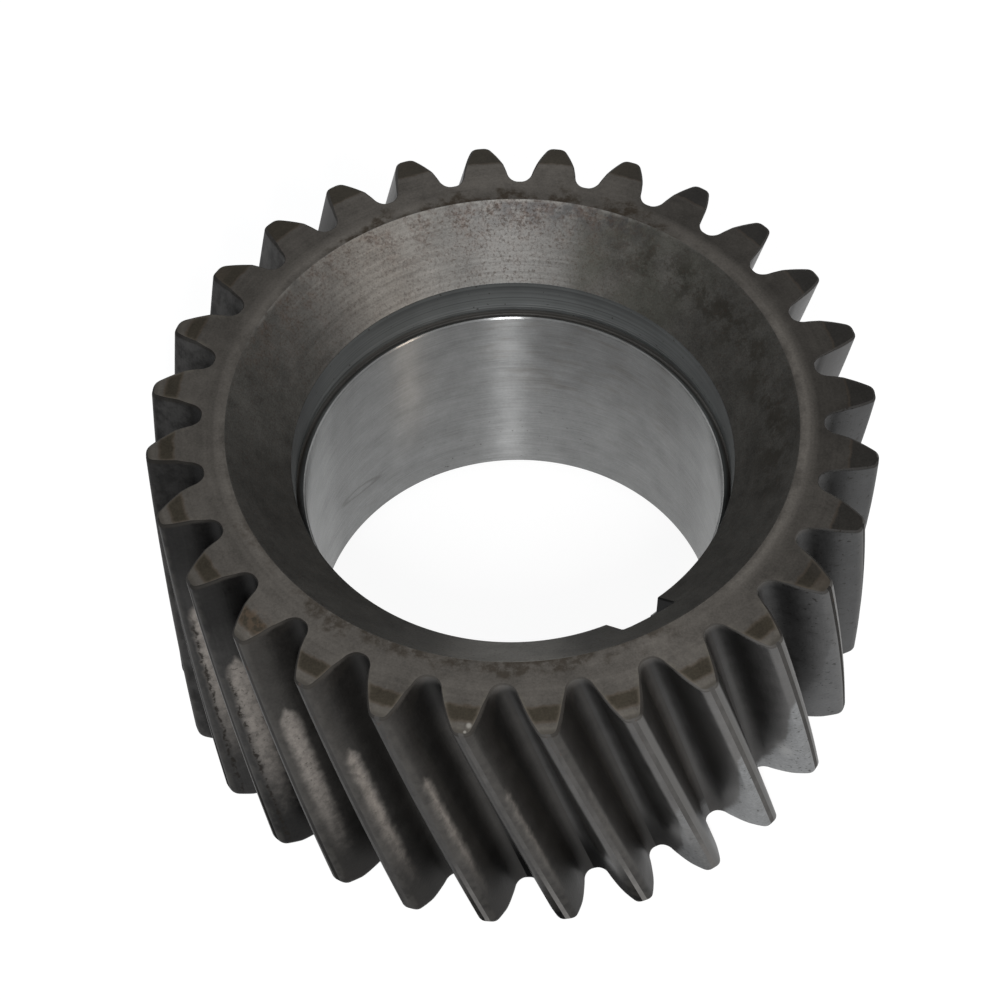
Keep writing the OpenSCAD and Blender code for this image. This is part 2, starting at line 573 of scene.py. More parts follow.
def wheel_tree(materials):
    """Sets the rim sector round the axis, joins the turned middle to it and gives each
    face the material of its finish."""
    tree = bpy.data.node_groups.new("wheel_from_one_tooth", "GeometryNodeTree")
    inputs = {"Geometry": "Geometry", "Teeth": "Int", "Middle": "Object", "Weld": "Float"}
    for name, kind in inputs.items():
        tree.interface.new_socket(name, in_out="INPUT", socket_type="NodeSocket" + kind)
    tree.interface.new_socket("Geometry", in_out="OUTPUT", socket_type="NodeSocketGeometry")
    g = Graph(tree)
    source = tree.nodes.new("NodeGroupInput")
    given = {s.name: Wire(g, s) for s in source.outputs if s.name}
    one = g.node("GeometryNodeGeometryToInstance", {}, {0: given["Geometry"]})
    copies = tree.nodes.new("GeometryNodeDuplicateElements")
    copies.domain = "INSTANCE"
    tree.links.new(one.socket, copies.inputs["Geometry"])
    tree.links.new(given["Teeth"].socket, copies.inputs["Amount"])
    index = Wire(g, copies.outputs["Duplicate Index"])
    turn = g.node("ShaderNodeCombineXYZ", {}, {"Z": index * (2 * math.pi) / given["Teeth"]})
    ring = g.node("GeometryNodeRotateInstances", {}, {
        "Instances": Wire(g, copies.outputs["Geometry"]), "Rotation": turn, "Local Space": False})
    middle = g.node("GeometryNodeObjectInfo", {"transform_space": "RELATIVE"},
                    {"Object": given["Middle"]}, "Geometry")
    both = tree.nodes.new("GeometryNodeJoinGeometry")
    for part in (middle, g.node("GeometryNodeRealizeInstances", {}, {"Geometry": ring})):
        tree.links.new(part.socket, both.inputs[0])
    shape = g.node("GeometryNodeMergeByDistance", {},
                   {"Geometry": Wire(g, both.outputs[0]), "Distance": given["Weld"]})
    shape = g.node("GeometryNodeSetShadeSmooth", {}, {"Geometry": shape})
    finish = g.node("GeometryNodeInputNamedAttribute", {"data_type": "INT"}, {"Name": "finish"})
    for number, material in enumerate(materials):
        chosen = g.node("FunctionNodeCompare", {"data_type": "INT", "operation": "EQUAL"},
                        {"A": finish, "B": number})
        shape = g.node("GeometryNodeSetMaterial", {},
                       {"Geometry": shape, "Selection": chosen, "Material": material})
    end = tree.nodes.new("NodeGroupOutput")
    tree.links.new(shape.socket, end.inputs[0])
    return tree


def make_wheel(materials):
    holder = bpy.data.objects.new("wheel_maker", rim_sector())
    middle = bpy.data.objects.new("wheel_middle", turned_middle())
    for part in (holder, middle):
        bpy.context.scene.collection.objects.link(part)
    maker = holder.modifiers.new("wheel", "NODES")
    maker.node_group = wheel_tree(materials)
    values = {"Teeth": TEETH, "Middle": middle, "Weld": WELD}
    for item in maker.node_group.interface.items_tree:
        if item.in_out == "INPUT" and item.name in values:
            maker[item.identifier] = values[item.name]
    weighted = holder.modifiers.new("normals", "WEIGHTED_NORMAL")
    weighted.keep_sharp = True
    graph = bpy.context.evaluated_depsgraph_get()
    data = bpy.data.meshes.new_from_object(
        holder.evaluated_get(graph), preserve_all_data_layers=True, depsgraph=graph)
    holder.modifiers.clear()
    bpy.data.objects.remove(holder)
    bpy.data.objects.remove(middle)
    data.name = "wheel"
    data.materials.pop(index=0)                  # the maker's own, empty slot
    wheel = bpy.data.objects.new("wheel", data)
    bpy.context.scene.collection.objects.link(wheel)
    return wheel


# Steel finishes

DEGREES = 180 / math.pi
PITCH_DEGREES = PITCH * DEGREES
TOOTH_DEGREES = TOOTH_ANGLE * DEGREES
MM_PER_METRE = 1000.0

# Colours of the bare steel, where it was turned, ground or cut; two of them are also painted lighter
# where a highlight or reflection falls
FACE_STEEL = (.066, .061, .055, 1)
DISH_STEEL = (.066, .064, .059, 1)
# cleaner steel of the far dish wall, also painted lighter as part of its highlight
CLEAN_AND_SHEEN_DISH = (.120, .118, .1145, 1)
RECESS_STEEL = (.116, .122, .122, 1)
BORE_STEEL = (.222, .225, .224, 1)
FLANK_STEEL = (.0335, .0328, .0322, 1)
# clean lower ends of the flanks, also painted lighter where the floor is reflected
CLEAN_AND_SHEEN_FLANK = (.255, .262, .268, 1)
GREY_FLANK = (.070, .072, .074, 1)
LAND_STEEL = (.096, .0935, .0905, 1)
REAR_STEEL = (.070, .066, .060, 1)
KEYWAY_STEEL = (.0125, .0128, .0132, 1)

# Colours of wear, some of them painted highlights on worn spots
# painted glints on worn nicks in a tooth tip
PAINTED_TIP_GLINT = (.25, .24, .22, 1)
WORN_RIM = (.13, .120, .097, 1)
# a painted highlight along the far rim of the dish
PAINTED_RIM_HIGHLIGHT = (.17, .165, .155, 1)
# worn patches with a painted highlight band on them
WORN_AND_SHEEN_PATCH = (.285, .262, .240, 1)
WORN_EDGE = (.11, .105, .095, 1)
WORN_CORNER = (.120, .118, .114, 1)
LAND_SIDE = (.13, .125, .115, 1)
# a painted glint on one tooth
PAINTED_GLINT = (.42, .42, .42, 1)
SCRATCH = (.07, .065, .06, 1)
PIT = (.012, .010, .008, 1)

# Colours of oil, dirt and rust, and one painted shade
STAIN = (.024, .018, .012, 1)
RUST = (.11, .060, .038, 1)
BEVEL_BROWN = (.0285, .0242, .0172, 1)
BEVEL_GREY = (.0215, .0205, .019, 1)
PATCH_BORDER = (.070, .050, .034, 1)
OILY_TIP = (.044, .040, .034, 1)
PALE_RUST = (.118, .084, .060, 1)
GREEN_OIL = (.040, .042, .032, 1)
THICK_OIL = (.019, .017, .013, 1)
OIL_BLOT = (.032, .032, .034, 1)
RUST_SPECK = (.050, .036, .029, 1)
PINK_RUST = (.100, .064, .048, 1)
SMEAR = (.105, .088, .070, 1)
DIRT_DOT = (.05, .045, .04, 1)
FILM = (.050, .0468, .0430, 1)
# painted shade in the feet of the gaps
FOOT_SHADE = (.010, .010, .010, 1)
FOOT_LIP = (.082, .079, .075, 1)
FRONT_EDGE = (.034, .031, .027, 1)
LIP_EDGE = (.064, .060, .054, 1)


class Finish:
    """One finish of the steel, written on the wheel's own coordinates in millimetres and
    degrees. Directions run from X towards Y, so 270 is nearest the camera."""

    def __init__(self, name):
        self.material = bpy.data.materials.new(name)
        self.material.use_nodes = True
        self.g = Graph(self.material.node_tree)
        self.g.tree.nodes.clear()
        place = self.g.node("ShaderNodeTexCoord", output="Object")
        axes = self.g.node("ShaderNodeSeparateXYZ", {}, {0: place}).socket.node.outputs
        self.x, self.y, self.z = (Wire(self.g, s) * MM_PER_METRE for s in axes)
        self.r = (self.x * self.x + self.y * self.y) ** 0.5
        self.turn = self.x.math("ARCTAN2", self.y, self.x) * DEGREES

    def tooth(self):
        """The place across the nearest tooth, in pitches, and the number of that tooth."""
        lag = (FACE_WIDTH - self.z) * (TWIST * DEGREES)
        count = (self.turn - TOOTH_DEGREES - lag) / PITCH_DEGREES
        number = count.math("ROUND", count)
        return count - number, number

    def to_tooth_edge(self):
        """Distance from a point of an end face to the nearest flank."""
        across = self.tooth()[0]
        stretch = self.r / BASE_R
        root = (stretch * stretch - 1.0).most(0.0) ** 0.5
        half = BASE_HALF - (root - root.math("ARCTANGENT", root))
        return (half - abs(across) * PITCH) * self.r

    def below_front(self):
        """Distance along the axis from the front end of the teeth."""
        return FACE_WIDTH - (self.r - (TIP_R - FRONT_BEVEL)).most(0.0) * BEVEL_SLOPE - self.z

    def noise(self, x, y, z, detail=2.0, crisp=0.5):
        spot = self.g.node("ShaderNodeCombineXYZ", {}, {0: x, 1: y, 2: z})
        return self.g.node("ShaderNodeTexNoise", {}, {
            "Vector": spot, "Scale": 1.0, "Detail": detail, "Roughness": crisp})

    def cloud(self, size, detail=3.0, shift=0.0, crisp=0.5):
        """Patches about size across. The crisper they are, the more grain they hold."""
        return self.noise(self.x / size + shift, self.y / size, self.z / size, detail, crisp)

    def specks(self, size, share, shift=0.0):
        """Small spots, about size across. The greater the share, the more there are."""
        low = 0.735 - share * 0.42
        return self.cloud(size, 1.0, shift).ramp(low, low + 0.05)

    def marks(self, across, spacing, length, detail=2.0, shift=0.0):
        """Tool marks that run round the axis, length long and spacing apart."""
        k = 40.0 / length
        x, y = self.x / self.r * k + shift, self.y / self.r * k
        return self.noise(x, y, across / spacing, detail)

    def sector(self, centre, half, soft, turn=None):
        """1 within half degrees of the direction centre, then out over soft degrees."""
        turn = self.turn if turn is None else turn
        away = turn - (centre - 180.0)
        away = abs(away.math("FLOORED_MODULO", away, 360.0) - 180.0)
        return away.ramp(half, half + soft, 1.0, 0.0)

    def close(self, colour, roughness, height, depth, metallic=1.0, anisotropic=0.0, edge=1.0):
        """Makes the steel of its colour, roughness and a relief that is depth deep. edge is
        how bright the steel turns when it is seen at a low angle."""
        relief = self.g.node("ShaderNodeBump", {}, {"Height": height, "Distance": depth * MM})
        steel = self.g.node("ShaderNodeBsdfPrincipled", {}, {
            "Base Color": colour, "Roughness": roughness, "Metallic": metallic, "Normal": relief,
            "Anisotropic": anisotropic, "Anisotropic Rotation": 0.25,
            "Specular Tint": (edge, edge, edge, 1)})
        self.g.node("ShaderNodeOutputMaterial", {}, {"Surface": steel})
        return self.material


class ToothFinish(Finish):
    """A finish that changes from tooth to tooth. front is the direction of a tooth's front
    end."""

    def __init__(self, name):
        super().__init__(name)
        self.across, self.number = self.tooth()
        self.front = self.number * PITCH_DEGREES + TOOTH_DEGREES

    def teeth(self, centre, half, soft):
        """1 on the teeth whose front ends lie within half degrees of the direction centre,
        then out over soft degrees."""
        return self.sector(centre, half, soft, self.front)


def face_level(f, rings, mottle, grain):
    """How light the turned face is, with its paler and darker stretches."""
    bands = f.marks(f.r, 1.7, 50.0, shift=4.0)
    outer = f.r.ramp(50.5, 52.0)
    level = rings * 0.24 + bands * 0.34 + mottle * 0.94 + grain * 0.46 - 0.07
    level = level * (1.0 + f.sector(303, 8, 14) * 0.26 + f.sector(108, 22, 16) * 0.14)
    level = level * (1.0 - f.sector(28, 28, 18) * outer * 0.36)
    level = level * (1.0 - f.sector(145, 14, 14) * outer * 0.20)
    level = level * (1.0 + f.sector(262, 32, 22) * 0.30 + f.sector(214, 12, 20) * 0.16
                     + f.sector(80, 14, 14) * outer * 0.20)
    # a paler ring next to the dish, where the face was wiped clean
    ring = (f.r + (mottle - 0.5) * 2.5).bump(49.6, 1.5)
    wiped = f.sector(350, 28, 14) * 0.62 + f.sector(160, 50, 15) * 0.30 + f.sector(40, 10, 12) * 0.2
    level = level * (1.0 + ring * wiped)
    return level * (1.0 - f.sector(345, 18, 14) * outer * 0.16)


def creeping_stains(f):
    """Oil stains that creep out from the dish."""
    reach = f.cloud(4.0, 4.0, shift=9.0)
    near_dish = (f.r - 48.8 - (reach - 0.5) * 14.0).ramp(0.0, 2.4, 1.0, 0.0)
    where = f.sector(92, 34, 8).most(f.sector(262, 34, 8) * 0.8).most(f.sector(210, 3, 8) * 0.5)
    return near_dish * where * f.cloud(1.8, 4.0, shift=3.0, crisp=0.7).ramp(0.34, 0.60)


def bevel_patches(f, colour, mottle, grain):
    """The brown patch on each bevel, with a paler worn rim on the near side. Gives the
    colour with the patches, and where they are."""
    g = f.g
    wander = (f.cloud(1.3, 3.0, shift=21.0) - 0.5) * 0.9
    edge = f.to_tooth_edge()
    near = f.sector(240, 78, 20)
    inside = (f.r + wander * 0.6).ramp(59.1, 60.0, 1.0, 0.0) * (edge + wander * 0.4).ramp(0.1, 0.9)
    patch = (f.r + wander).ramp(56.6, 57.4) * inside.most(1.0 - near)
    border = patch * (1.0 - patch) * 4.0
    brown = g.mix(f.sector(15, 42, 14), BEVEL_BROWN, BEVEL_GREY)
    brown = g.shade(brown, (0.10 + mottle + grain * 0.7) * (1.0 + near * 0.12))
    colour = g.mix(patch * 0.86, colour, brown)
    colour = g.mix(border * 0.22, colour, PATCH_BORDER)
    beside = edge.ramp(0.0, 1.3, 1.0, 0.0) * f.r.ramp(53.6, 55.5)
    worn = beside.most(f.r.ramp(59.6, 60.4) * 0.5) * near * (1.0 - f.sector(212, 20, 20) * 0.5)
    worn = worn * f.cloud(1.3, 3.0, shift=2.0).ramp(0.30, 0.6)
    colour = g.mix(worn * 0.36, colour, WORN_RIM)
    colour = g.mix(f.r.ramp(60.5, 61.3) * near * 0.5, colour, OILY_TIP)
    rusty = f.sector(223, 5, 5) * (f.r + wander * 2.0).bump(58.0, 3.0)
    rusty = rusty * f.cloud(0.9, 3.0, shift=33.0).ramp(0.40, 0.62)
    return g.mix(rusty * 0.42, colour, PALE_RUST), patch


def face_steel(f):
    """Colour, roughness and height of the turned end face and its bevels."""
    rings = f.marks(f.r, 0.5, 30.0)
    mottle = f.cloud(5.0, 5.0, crisp=0.72)
    grain = f.cloud(0.32, 1.0)
    colour = f.g.shade(FACE_STEEL, face_level(f, rings, mottle, grain))
    colour = f.g.mix(creeping_stains(f) * 0.80, colour, STAIN)
    colour, patch = bevel_patches(f, colour, mottle, grain)
    rough = 0.36 + mottle * 0.14 + patch * 0.14
    return colour, rough, rings * 0.4 + grain * 0.5


def turned_face():
    f = Finish("turned_face")
    colour, rough, height = face_steel(f)
    return f.close(colour, rough, height, 0.012, anisotropic=0.35)


def bevelled_ends():
    f = Finish("bevelled_tooth_ends")
    colour, rough, height = face_steel(f)
    # two painted glints on worn nicks in the tip of one near tooth
    tip_degree = 1.06                            # length of one degree there
    for turn, r, size in ((-97.2, 60.1, 0.60), (-97.7, 61.2, 0.35)):
        away = (((f.turn - turn) * tip_degree) ** 2.0 + (f.r - r) ** 2.0) ** 0.5
        tip_glint = away.ramp(size * 0.3, size, 1.0, 0.0)
        colour = f.g.mix(tip_glint * 0.8, colour, PAINTED_TIP_GLINT)
    return f.close(colour, rough + 0.06, height, 0.010)


def dish_oil(f, colour):
    """Dark oil, thickest to the right."""
    g = f.g
    oil = f.sector(25, 28, 26) * f.r.bump(44.5, 5.5) * f.cloud(4.0, 5.0, 13.0, 0.75).ramp(0.42, 0.58)
    upper = f.r.ramp(43.0, 48.2)
    blot = f.sector(78, 12, 14) * upper * f.cloud(2.2, 4.0, 17.0, 0.74).ramp(0.40, 0.58)
    green = f.sector(58, 10, 12) * f.cloud(7.0, 4.0, shift=43.0).ramp(0.35, 0.6)
    colour = g.mix(green * 0.35, colour, GREEN_OIL)
    colour = g.mix(oil * 0.62, colour, THICK_OIL)
    return g.mix(blot * 0.62, colour, OIL_BLOT)


def dish_rust(f, colour):
    """Light rust and dirt in small specks, thickest near the upper edge. Gives the colour
    with the rust, and where it is."""
    g = f.g
    thick = f.cloud(3.2, 4.0, 19.0, 0.65).ramp(0.34, 0.66)
    field = f.sector(112, 34, 30) * (0.25 + f.r.ramp(41.0, 48.0) * 0.75)
    speck = f.cloud(0.50, 3.0, 31.0, 0.7)
    rust = (speck + field * thick * 0.14).ramp(0.50, 0.80)
    colour = g.mix(rust * 0.52, colour, RUST_SPECK)
    pink = field * thick * f.cloud(1.1, 4.0, 37.0, 0.7).ramp(0.36, 0.68)
    return g.mix(pink * 0.30, colour, PINK_RUST), rust


def turned_dish():
    f = Finish("turned_dish")
    g = f.g
    rings = f.marks(f.r, 0.34, 40.0)
    mottle = f.cloud(4.5, 5.0, crisp=0.74)
    grain = f.cloud(0.30, 1.0)
    level = rings * 0.20 + mottle * 1.24 + grain * 0.54 - 0.12
    level = level * (1.0 - f.sector(350, 40, 30) * 0.16) * (1.0 - f.sector(215, 26, 16) * 0.28)
    # painted reflection: a lighter streak on the near side of the dish, round 269 degrees
    level = level * (1.0 + f.sector(269, 5, 12) * 1.2 + f.sector(60, 10, 14) * 0.3)
    colour = g.shade(DISH_STEEL, level)
    # one side of the far wall is cleaner, with a border on its right, and it is also painted lighter
    # there as part of the highlight, most round 124 degrees
    drift = (f.cloud(4.0, 4.0, 5.0, 0.65) - 0.5) * 16.0
    clean_and_sheen = (f.turn + drift * 0.5).ramp(69.0, 78.0) * (f.turn + drift).ramp(118.0, 168.0, 1.0, 0.0)
    clean_and_sheen_level = rings * 0.80 + mottle * 0.84 + grain * 0.44 - 0.07
    clean_and_sheen_level = clean_and_sheen_level * (1.0 + f.sector(124, 10, 14) * 0.5)
    colour = g.mix(clean_and_sheen * 0.62, colour, g.shade(CLEAN_AND_SHEEN_DISH, clean_and_sheen_level))
    colour, rust = dish_rust(f, dish_oil(f, colour))
    # painted highlight: a bright line along the far rim of the dish
    rim = f.r.bump(48.3, 0.4) * f.sector(108, 40, 22)
    rim = rim * f.cloud(1.6, 2.0, shift=39.0).ramp(0.30, 0.65)
    colour = g.mix(rim * 0.5, colour, PAINTED_RIM_HIGHLIGHT)
    rough = 0.47 + mottle * 0.12 + rust * 0.15
    return f.close(colour, rough, rings * 0.8 + grain * 0.5, 0.014, anisotropic=0.35)


def recess_wall():
    f = Finish("recess_wall")
    g = f.g
    rings = f.marks(f.z, 0.27, 90.0, 1.0).ramp(0.30, 0.70)
    mottle = f.cloud(6.0, 4.0)
    level = 0.48 + rings * 0.40 + mottle * 0.40
    # painted reflection: a lighter streak on the near side of the recess, round 269 degrees
    level = level * (1.0 + f.sector(269, 5, 12) * 0.8 - f.sector(190, 22, 20) * 0.28)
    lower = f.z.ramp(49.8, 47.2) * f.sector(90, 66, 16) * 0.8
    upper = f.z.ramp(50.5, 52.5) * f.sector(88, 36, 16) * 0.2
    colour = g.shade(RECESS_STEEL, level * (1.0 + lower - upper))
    colour = g.mix(f.specks(0.8, 0.04, 3.0) * 0.6, colour, STAIN)
    # the groove at the foot of the recess is painted near black
    groove = f.z.ramp(RECESS_FOOT - 0.3, RECESS_FOOT - 0.1, 1.0, 0.0)
    colour = g.mix(groove * f.r.ramp(36.6, 37.3) * 0.7, colour, STAIN)
    rough = 0.40 + rings * 0.1 + mottle * 0.06
    return f.close(colour, rough, rings, 0.010, 1.0 - groove * 0.5, anisotropic=0.5)


def loop_scratch(f, mottle):
    """A scratch in a long, narrow loop, low on the left of the bore."""
    turn, height = 142.8, 13.9
    half_length, half_width = 5.0, 0.95
    lean_cos, lean_sin = 0.962, 0.273
    bore_degree = 0.628                          # length of one degree on the bore
    u = (f.turn - turn) * bore_degree
    v = f.z - height + (mottle - 0.5) * 1.5
    s = (u * lean_cos + v * lean_sin) / half_length
    t = (v * lean_cos - u * lean_sin) / half_width
    return ((s * s + t * t) ** 0.5).bump(1.0, 0.42)


def ground_bore():
    f = Finish("ground_bore")
    g = f.g
    scratches = f.marks(f.z + f.turn * 0.015, 0.22, 7.0, 3.0)
    strokes = f.marks(f.z, 0.9, 11.0, 4.0, shift=5.0)
    mottle = f.cloud(5.0, 5.0)
    fine = f.cloud(0.5, 3.0)
    level = scratches * 0.46 + strokes * 0.26 + mottle * 0.56 + fine * 0.26 + 0.23
    lighter = (f.sector(0, 16, 12) + f.sector(168, 8, 10)) * f.z.ramp(24.0, 40.0, 0.15, 0.36)
    darker = f.sector(60, 20, 12) * f.z.ramp(22.0, 40.0) * 0.20
    colour = g.shade(BORE_STEEL, level * (1.0 + lighter - darker))
    where = f.sector(66, 20, 14) * f.z.ramp(18.0, 34.0)
    where = where + f.cloud(14.0, 2.0, shift=12.0).ramp(0.5, 0.7) * 0.6
    smear = f.marks(f.z, 1.3, 6.0, 4.0, shift=11.0).ramp(0.46, 0.74) * where.least(1.0)
    colour = g.mix(smear * 0.30, colour, SMEAR)
    dots = f.specks(1.0, 0.05, 6.0) * f.sector(92, 20, 12) * f.z.ramp(6.0, 26.0, 1.0, 0.0)
    colour = g.mix(dots * 0.7, colour, DIRT_DOT)
    colour = g.mix(loop_scratch(f, mottle) * 0.42, colour, SCRATCH)
    rough = 0.30 + scratches * 0.04
    return f.close(colour, rough, scratches, 0.040, anisotropic=1.0)


class FlankFinish(ToothFinish):
    """The flanks and gaps. plus is 1 on the flank towards the next tooth round from X to Y,
    and minus is 1 on the other flank."""

    def __init__(self):
        super().__init__("tooth_flanks")
        self.plus = self.across.ramp(-0.01, 0.01)
        self.minus = 1.0 - self.plus
        self.mottle = self.cloud(4.0, 4.0, crisp=0.66)
        self.fine = self.cloud(0.5, 2.0)
        self.along = self.noise(self.r / 0.35, self.turn / 9.0, self.z / 12.0, 2.0)
        self.place = self.front.math("FLOORED_MODULO", self.front, 360.0)
        self.foot = self.r.ramp(52.9, 56.0, 1.0, 0.0)
        self.lip = self.foot * self.z.ramp(61.8, 64.0) * self.sector(293, 36, 16)
        self.brow = self.below_front().ramp(0.20, 0.60, 1.0, 0.0)
        self.film = self.plus * self.teeth(258, 34, 16)
        self.grey = self.teeth(345, 22, 14) * self.minus


def oiled_flanks(f):
    """Colour of the oily flanks, the film on the near ones and the grey ones on the right."""
    g = f.g
    level = 0.30 + f.mottle * 0.7 + f.along * 0.35 + f.fine * 0.3
    bright = f.r.ramp(54.8, 60.5) * (f.teeth(312, 14, 18) * 1.9 + f.teeth(280, 12, 12) * 0.7)
    bright = bright + f.teeth(294, 20, 14) * f.z.ramp(64.0, 36.0, 0.35, 0.80)
    level = level * (1.0 + f.minus * bright)
    level = level * (1.0 - f.plus * f.teeth(205, 26, 14) * f.z.ramp(46.0, 57.0) * 0.45)
    patches = f.mottle.ramp(0.36, 0.62) * 0.7 - 0.45
    level = level * (1.0 + f.plus * f.teeth(158, 22, 12) * patches)
    # the far teeth are painted lighter, a painted fill light against their own shade
    hidden_fill = f.minus * f.teeth(150, 60, 20) + f.plus * f.teeth(20, 40, 20)
    level = level * (1.0 + f.teeth(72, 48, 22) * 1.1 + hidden_fill * 0.6)
    # the lower ends are darker on the near teeth, where they meet their shadow
    shadow = 0.54 + f.minus * f.teeth(262, 9, 11) * 0.46
    low = 1.0 - f.teeth(248, 42, 12) * f.z.ramp(22.0, 7.0) * shadow
    deep = f.plus * f.teeth(262, 34, 14) * f.r.bump(54.6, 2.2)
    colour = g.shade(FLANK_STEEL, level * low * (1.0 - deep * 0.35))
    # the far side of each gap holds a warmer, duller film on the near teeth
    film = g.shade(FILM, (0.35 + f.mottle * 0.8 + f.fine * 0.4) * low)
    colour = g.mix(f.film * 0.7, colour, film)
    grey = g.shade(GREY_FLANK, f.mottle * 1.3 + f.fine * 0.7 + 0.02)
    return g.mix(f.grey * 0.6, colour, grey)


def clean_and_sheen_ends(f, colour):
    """Light ends beyond the oily contact track, partly clean steel and partly a painted
    reflection of the floor, longer on one tooth after the other. Gives the colour with
    the ends, and where they are."""
    g = f.g
    own = g.node("ShaderNodeTexWhiteNoise", {"noise_dimensions": "1D"},
                 {"W": f.number.math("FLOORED_MODULO", f.number + 0.5, TEETH)})
    reach = (f.place - 287.0).most(0.0) * 0.38 + (f.r - 57.7) * 2.6
    reach = f.minus * (reach + (f.r - 58.8).most(0.0) * 4.0 - 10.5)
    reach = reach + f.plus * (f.r - 57.7) * 1.8
    reach = reach + 16.0 + (own - 0.5) * 2.0 + (f.mottle - 0.5) * 7.0
    strong = f.minus * f.teeth(304, 6, 21) + f.plus * f.teeth(298, 6, 13) * 0.62
    # the light ends are partly clean steel and partly a painted reflection of the floor
    clean_and_sheen = (f.z - reach).ramp(-2.5, 1.2, 1.0, 0.0) * strong
    bare_and_sheen = g.shade(CLEAN_AND_SHEEN_FLANK, 0.35 + f.mottle * 0.5 + f.fine * 0.8)
    colour = g.mix(clean_and_sheen * 0.90, colour, bare_and_sheen)
    # a painted glint low on the clean end of one near tooth
    painted_glint = f.teeth(313, 6, 4) * f.minus * f.r.bump(58.2 + (f.mottle - 0.5) * 3.0, 2.2)
    return g.mix(painted_glint * f.z.bump(13.5, 6.0) * 0.55, colour, PAINTED_GLINT), clean_and_sheen


def worn_and_sheen_patches(f, colour):
    """Pale patches on the left, worn contact patches under a painted highlight band, which
    shift and narrow from tooth to tooth. Gives the colour with the patches, where they
    are, and the cracks along their outer side."""
    step = f.place - 223.0
    centre = 59.3 + step * 0.045
    width = 1.9 - step * 0.034
    drift = (f.cloud(1.6, 3.0, shift=8.0) - 0.5) * 1.7
    # the pale patches are worn, with a painted highlight band along them
    pale = (abs(f.r - centre + drift * 0.7) - width).ramp(-1.5, 0.3, 1.0, 0.0)
    pale = pale * f.teeth(234, 37, 9) * f.plus
    top = 46.6 - step * 0.04 - abs(f.r - centre) * 1.2
    pale = pale * (top - f.z + drift * 1.2).ramp(-0.8, 1.4) * (f.z + drift * 6.0).ramp(6.0, 34.0)
    flecks = f.cloud(1.6, 4.0, 51.0, 0.7).ramp(0.36, 0.58)
    level = (0.55 + f.mottle * 0.5 + f.fine * 0.4) * (1.0 - f.teeth(203, 10, 8) * 0.18)
    colour = f.g.mix(pale * (0.66 + flecks * 0.34), colour, f.g.shade(WORN_AND_SHEEN_PATCH, level))
    cracks = abs(f.r - centre - width * 0.8 + drift).ramp(0.0, 0.5, 1.0, 0.0)
    cracks = cracks * f.teeth(204, 10, 6) * f.plus * f.z.ramp(46.0, 40.0)
    return colour, pale, cracks


def flank_edges(f, colour):
    """The worn tip edge and far corner, the painted shade in the feet of the gaps and the front
    edge.
    """
    g = f.g
    edge = f.r.ramp(61.0, 61.6) * f.cloud(2.0, 3.0, shift=7.0).ramp(0.35, 0.6)
    colour = g.mix(edge * 0.16, colour, WORN_EDGE)
    corner = f.r.ramp(61.0, 61.5) * f.plus * f.teeth(322, 32, 14)
    colour = g.mix(corner * 0.8, colour, WORN_CORNER)
    # painted shade: the feet of the gaps on the left are painted near black, high up
    shaded_foot = f.foot * f.sector(212, 44, 16) * f.z.ramp(50.0, 58.0)
    colour = g.mix(shaded_foot * 0.75, colour, FOOT_SHADE)
    colour = g.mix(f.lip * 0.85, colour, g.shade(FOOT_LIP, 0.5 + f.mottle))
    # the broken front edge is rough and dull, so it draws no bright line
    return g.mix(f.brow * (0.45 + f.lip * 0.4), colour, g.mix(f.lip, FRONT_EDGE, LIP_EDGE))


def tooth_flanks():
    f = FlankFinish()
    colour, clean_and_sheen = clean_and_sheen_ends(f, oiled_flanks(f))
    # pale marks the worn patches and their painted highlight band
    colour, pale, cracks = worn_and_sheen_patches(f, colour)
    pitted = (clean_and_sheen * 0.8 + f.grey + pale * 0.5).least(1.0)
    pits = f.cloud(0.8, 2.0, shift=41.0).ramp(0.63, 0.70) * pitted
    pits = pits.most(cracks * f.cloud(1.2, 3.0, 47.0, 0.7).ramp(0.42, 0.55))
    colour = flank_edges(f, f.g.mix(pits * 0.85, colour, PIT))
    ends = f.z.ramp(18.0, 4.0) * f.minus * f.teeth(268, 22, 16)
    rough = 0.26 + f.mottle * 0.14 + ends * 0.5 + f.plus * f.teeth(150, 30, 12) * 0.15
    rough = rough + pale * 0.2 + f.grey * 0.10 + f.fine * 0.06 + f.foot * 0.18
    rough = rough + f.film * 0.06 + f.brow * 0.35 + f.lip * 0.1
    dull = (0.10 + f.foot * 0.16 + f.lip * 0.22 + f.film * 0.08) * (1.0 - clean_and_sheen) * (1.0 - pale)
    return f.close(colour, rough, f.fine * 0.7 + f.along * 0.4, 0.020, 1.0 - dull, edge=0.65)


